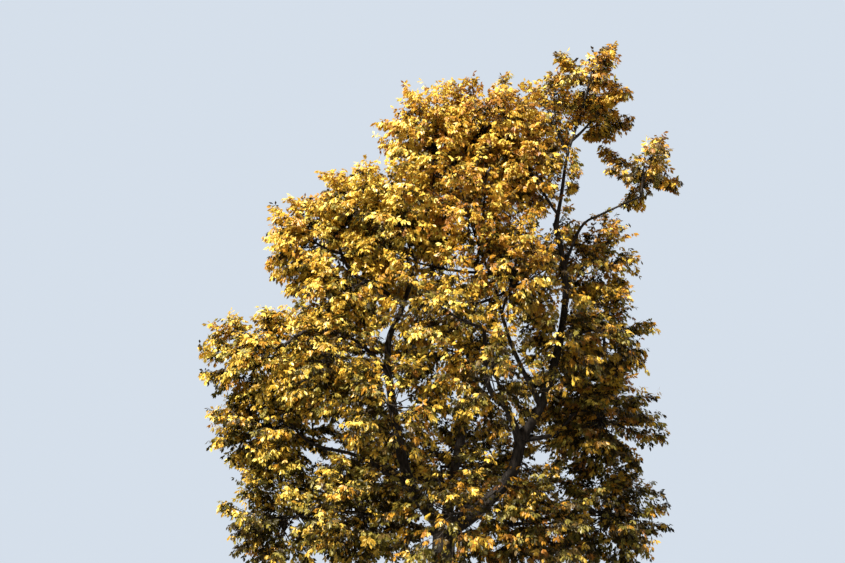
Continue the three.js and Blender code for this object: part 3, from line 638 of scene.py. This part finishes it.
def twigs_of(index, lines, outward, chance):
    per = TWIG["count"]
    parent, order = numbered(len(lines), per)
    count = len(parent)
    share = (order + TWIG["jitter"] * chance.random(count)) / (per - TWIG["jitter"])
    share = np.minimum(between(TWIG["on_branchlet"], share), 1.0)
    starts, along = on_lines(lines, parent, share)
    rise = chance.uniform(*TWIG["rise"], (count, 1))
    aside = to_either_side(along, order, per, TWIG["last_aside"])
    heading = unit(along * TWIG["onward"] + aside * chance.uniform(*TWIG["sideways"], (count, 1))
                   + UP * rise + TWIG["outward"] * outward[parent]
                   + TWIG["stray"] * chance.normal(size=(count, 3)))
    length = chance.uniform(*TWIG["length"], (count, 1))
    length = length * (TWIG["longest"] - TWIG["shorter_by"] * share[:, None])
    ends = pulled_in(starts, starts + heading * length, index, TWIG["across"])
    keep = in_space(ends, index, TWIG["across"], 0.0) & in_box(ends)
    keep &= ~in_ovals(ends, SKY_GAPS) | (chance.random(count) < LEFT_IN_GAP)
    starts, ends, length = starts[keep], ends[keep], length[keep]
    bends = (starts + ends) / 2 + TWIG["sag"] * length * UP
    return bezier(starts, bends, ends, TWIG["rings"]), outward[parent[keep]]


def leaves_of(lines, outward, chance):
    """Where each leaf leaves its twig, which way its stalk points and it faces, and its spray."""
    per = LEAF["count"]
    parent, order = numbered(len(lines), per)
    count = len(parent)
    share = between(LEAF["on_twig"], order / (per - 1))
    share = share - LEAF["jitter"] * chance.random(count) * (order < per - 1)
    roots, along = on_lines(lines, parent, share)
    droop = chance.uniform(*LEAF["droop"], (count, 1))
    aside = to_either_side(along, order, per, LEAF["last_aside"])
    heading = unit(along * chance.uniform(*LEAF["onward"], (count, 1)) + aside
                   + LEAF["outward"] * outward[parent] - UP * droop
                   + LEAF["stray"] * chance.normal(size=(count, 3)))
    facing = unit(outward[parent] * LEAF["face_outward"] + UP * LEAF["face_up"]
                  + LEAF["face_stray"] * chance.normal(size=(count, 3)))
    sprays_on_twig = math.ceil(per / LEAF["in_spray"])
    return roots, heading, facing, parent * sprays_on_twig + order // LEAF["in_spray"]


# Compound leaves: five leaflets that hang from a stalk

def leaflet_corners(start, along, normal, length):
    """Corners of one leaflet of many leaves, folded along its middle and curled down."""
    aside = np.cross(normal, along)
    corners = [start + length * (t * along + LEAFLET["half_width"] * w * aside
                                 - (LEAFLET["fold"] * abs(w) + LEAFLET["curl"] * t * t) * normal)
               for t, w in OUTLINE]
    return np.stack(corners, 1)


def leaf_corners(roots, heading, facing, chance):
    """Corners of each leaf's stalk, (leaves, 3, 3), and of its leaflets, (leaves, 5, 4, 3)."""
    count = len(roots)
    across = unit(np.cross(facing, heading))
    stalk = chance.uniform(*STALK["length"], (count, 1))
    tips = roots + heading * stalk - STALK["sag"] * stalk * UP
    half = across * STALK["width"] / 2
    stalks = np.stack([roots - half, roots + half, tips], 1)
    length = chance.uniform(*LEAFLET["length"], (count, 1))
    leaflets = []
    for share, degrees, size in LEAFLETS:
        turn = math.radians(degrees)
        hang = chance.uniform(*LEAFLET["hang"], (count, 1))
        along = unit(heading * math.cos(turn) + across * math.sin(turn) - hang * UP
                     + LEAFLET["stray"] * chance.normal(size=(count, 3)))
        normal = facing + LEAFLET["twist"] * chance.normal(size=(count, 3))
        normal = unit(normal - (normal * along).sum(-1, keepdims=True) * along)
        start = roots + (tips - roots) * share
        leaflets.append(leaflet_corners(start, along, normal, size * length))
    return stalks, np.stack(leaflets, 1)


def tints_of(roots, spray, index, chance):
    """A tint for each leaf, the same for the whole spray, drawn by where in the crown that is:
    darker tints lower down, further in and to the right paint the shade there, and paler ones
    higher up and to the left paint the sunlit side.
    """
    places = roots[np.unique(spray, return_index=True)[1]]
    right = (places[:, 0] - CROWN["middle"]) / CROWN["half_width"]
    high = (places[:, 2] - CROWN["half_height"]) / CROWN["half_height"]
    inner = 1 - np.linalg.norm((places - CENTRES[index]) / REACHES[index], axis=-1)
    spire = np.maximum(right, 0) * np.maximum(high, 0)
    warm = in_ovals(places, WARM_PATCHES)
    terms = np.stack([np.ones(len(places)), right, high, inner, spire, warm], -1)
    weights = np.maximum(terms @ np.array([values[1:] for values in TINTS.values()]).T, 0.0)
    steps = np.cumsum(weights / weights.sum(-1, keepdims=True), -1)
    return (chance.random((len(places), 1)) > steps).sum(-1)[spray]


def kept_leaves(stalks, leaflets, index, limbs, bare, chance):
    """Which leaves stay: those in their mass's space and in the tree's box that touch no limb,
    but only some of those that hide a limb that shows."""
    middles = leaflets.mean((1, 2))
    keep = in_space(middles, index, LEAF["across"], LEAF["beyond"])
    keep &= in_box(leaflets).all((1, 2)) & in_box(stalks).all(1)
    keep &= clear_of_limbs(middles, limbs)
    return keep & (~before_bare_limb(middles, bare) | (chance.random(len(keep)) < LEFT_IN_PARTING))


def grow_mass(index, fullness, stem, limbs, bare):
    """A mass's branchlets and twigs, and its leaves as stalks, leaflets and tints."""
    chance = np.random.default_rng((SEED, index))
    branchlets, outward = branchlets_of(index, fullness, stem, chance)
    twigs, twig_outward = twigs_of(index, branchlets, outward, chance)
    roots, heading, facing, spray = leaves_of(twigs, twig_outward, chance)
    stalks, leaflets = leaf_corners(roots, heading, facing, chance)
    tints = tints_of(roots, spray, index, chance)
    keep = kept_leaves(stalks, leaflets, index, limbs, bare, chance)
    return branchlets, twigs, stalks[keep], leaflets[keep], tints[keep]


# Materials

def linear(hex_colour):
    channels = [int(hex_colour[k:k + 2], 16) / 255 for k in (1, 3, 5)]
    return [c / 12.92 if c <= 0.04045 else ((c + 0.055) / 1.055) ** 2.4 for c in channels] + [1.0]


def new_material(name):
    """A material with its nodes and links."""
    material = bpy.data.materials.new(name)
    material.use_nodes = True
    return material, material.node_tree.nodes, material.node_tree.links


def set_inputs(node, values):
    for name, value in values.items():
        node.inputs[name].default_value = value


def leaf_material(name, hex_colour):
    """One tint of leaf: glossier the paler it is, and lit through where the sun is behind it."""
    material, nodes, links = new_material(name)
    colour = linear(hex_colour)
    front = nodes["Principled BSDF"]
    through = nodes.new("ShaderNodeBsdfTranslucent")
    mix = nodes.new("ShaderNodeMixShader")
    set_inputs(front, {"Base Color": colour, "Roughness": LEAF_LOOK["roughness"],
                       "Specular IOR Level": between(LEAF_LOOK["gloss"], colour[0])})
    set_inputs(through, {"Color": colour})
    set_inputs(mix, {"Fac": LEAF_LOOK["through"]})
    links.new(front.outputs["BSDF"], mix.inputs[1])
    links.new(through.outputs["BSDF"], mix.inputs[2])
    links.new(mix.outputs["Shader"], nodes["Material Output"].inputs["Surface"])
    return material


def bark_material(name, dark, pale, scale):
    """Bark in its dark and pale colours, which for the limbs are near black to paint the crown's
    shade on them: long vertical streaks, darker where the bump sinks, and a fine rough grain.
    """
    material, nodes, links = new_material(name)
    shader = nodes["Principled BSDF"]
    place = nodes.new("ShaderNodeTexCoord")
    stretch = nodes.new("ShaderNodeMapping")
    streaks = nodes.new("ShaderNodeTexNoise")
    colours = nodes.new("ShaderNodeValToRGB")
    bump = nodes.new("ShaderNodeBump")
    set_inputs(stretch, {"Scale": BARK_LOOK["stretch"]})
    set_inputs(streaks, {"Scale": scale, "Detail": BARK_LOOK["detail"], "Roughness": BARK_LOOK["grain"]})
    set_inputs(bump, {"Strength": BARK_LOOK["bump"], "Distance": BARK_LOOK["bump_depth"]})
    set_inputs(shader, {"Roughness": BARK_LOOK["roughness"], "Specular IOR Level": BARK_LOOK["specular"]})
    for stop, position, colour in zip(colours.color_ramp.elements, BARK_LOOK["stops"], (dark, pale)):
        stop.position = position
        stop.color = linear(colour)
    links.new(place.outputs["Object"], stretch.inputs["Vector"])
    links.new(stretch.outputs["Vector"], streaks.inputs["Vector"])
    links.new(streaks.outputs["Fac"], colours.inputs["Fac"])
    links.new(colours.outputs["Color"], shader.inputs["Base Color"])
    links.new(streaks.outputs["Fac"], bump.inputs["Height"])
    links.new(bump.outputs["Normal"], shader.inputs["Normal"])
    return material


# The tree

def leaf_piece(name, hex_colour, stalks, leaflets):
    """All leaves of one tint: each stalk one face, each leaflet two."""
    corners = np.vstack([stalks.reshape(-1, 3), leaflets.reshape(-1, 3)])
    stalk_faces = np.arange(stalks.shape[0] * stalks.shape[1]).reshape(-1, 3)
    blades = leaflets.shape[0] * leaflets.shape[1]
    starts = stalk_faces.size + len(OUTLINE) * np.arange(blades)
    blade_faces = (starts[:, None, None] + np.array(LEAFLET_FACES)).reshape(-1, 3)
    material = leaf_material(f"leaf_{name}", hex_colour)
    return new_piece(f"leaves_{name}", corners, [np.vstack([stalk_faces, blade_faces])], material, False)


def wood_piece(name, lines, kind, material):
    """All boughs, branchlets or twigs, as thin tapering tubes."""
    radii = between((kind["thick"][0] / 2, kind["thick"][1] / 2), np.linspace(0, 1, lines.shape[1]))
    corners, faces = tubes(lines, np.tile(radii, (len(lines), 1)), kind["sides"])
    return new_piece(name, corners, faces, material, True)


def dress_tree():
    routes, radii = grow_limbs()
    limbs = limb_samples(routes, radii, {name: (0, 1) for name in routes}, LIMB_SPACING)
    stems = [stem_of(mass, routes) for mass in MASSES.values()]
    bare = bare_samples(routes, radii, stems)
    grown = [grow_mass(index, mass[4], stem, limbs, bare)
             for index, (mass, stem) in enumerate(zip(MASSES.values(), stems))]
    branchlets, twigs, stalks, leaflets, tints = (np.concatenate(parts) for parts in zip(*grown))
    stem_lines = np.stack([stem.at(np.linspace(0, 1, STEM["rings"])) for stem in stems])
    bark, twig_bark = (bark_material(name, *look) for name, look in BARK_COLOURS.items())
    wood = [
        bark_piece(routes, radii, bark),
        wood_piece("boughs", stem_lines, STEM, bark),
        wood_piece("branchlets", branchlets, BRANCHLET, twig_bark),
        wood_piece("twigs", twigs, TWIG, twig_bark),
    ]
    foliage = [leaf_piece(name, values[0], stalks[tints == number], leaflets[tints == number])
               for number, (name, values) in enumerate(TINTS.items())]
    return {"bark": wood, "foliage": foliage}


pieces = dress_tree()
limb_nodes = ["trunk", *LIMBS]
mass_nodes = [f"foliage_{name}" for name in MASSES]
for slot, some in pieces.items():
    for piece in some:
        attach(piece, "root")
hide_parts(*limb_nodes)
for piece in pieces["bark"][1:] + pieces["foliage"]:
    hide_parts(*mass_nodes)


# Studio: floor, light and camera

def add_floor():
    mesh = bpy.data.meshes.new("floor")
    half = FLOOR["half"]
    corners = [(-half, -half, 0), (half, -half, 0), (half, half, 0), (-half, half, 0)]
    mesh.from_pydata(corners, [], [(0, 1, 2, 3)])
    floor = bpy.data.objects.new("floor", mesh)
    bpy.context.scene.collection.objects.link(floor)
    material, nodes, _ = new_material("floor")
    set_inputs(nodes["Principled BSDF"], {"Base Color": FLOOR["colour"], "Roughness": FLOOR["roughness"]})
    mesh.materials.append(material)
    floor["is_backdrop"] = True


def add_sky():
    """Soft light from all round, with a paler backdrop where the camera looks past the tree."""
    world = bpy.data.worlds.new("studio")
    bpy.context.scene.world = world
    world.use_nodes = True
    nodes, links = world.node_tree.nodes, world.node_tree.links
    sky = nodes["Background"]
    backdrop = nodes.new("ShaderNodeBackground")
    path = nodes.new("ShaderNodeLightPath")
    mix = nodes.new("ShaderNodeMixShader")
    for node, (colour, strength) in ((sky, AMBIENT), (backdrop, BACKDROP)):
        set_inputs(node, {"Color": colour, "Strength": strength})
    links.new(path.outputs["Is Camera Ray"], mix.inputs["Fac"])
    links.new(sky.outputs["Background"], mix.inputs[1])
    links.new(backdrop.outputs["Background"], mix.inputs[2])
    links.new(mix.outputs["Shader"], nodes["World Output"].inputs["Surface"])
    bpy.context.scene.view_settings.view_transform = "Standard"


def add_lights():
    for name, (strength, width, colour, tilt, turn) in LIGHTS.items():
        data = bpy.data.lights.new(name, "SUN")
        data.energy = strength
        data.angle = math.radians(width)
        data.color = colour
        light = bpy.data.objects.new(name, data)
        bpy.context.scene.collection.objects.link(light)
        light.rotation_euler = (math.radians(tilt), 0, math.radians(turn))


def add_camera():
    data = bpy.data.cameras.new("camera")
    data.sensor_width = SENSOR
    data.lens = FOCAL_PIXELS / FRAME_WIDTH * SENSOR
    data.clip_end = CLIP_END
    camera = bpy.data.objects.new("camera", data)
    camera.location = EYE
    camera.rotation_euler = (math.pi / 2 + PITCH, 0, 0)
    bpy.context.scene.collection.objects.link(camera)
    bpy.context.scene.camera = camera


add_floor()
add_sky()
add_lights()
add_camera()
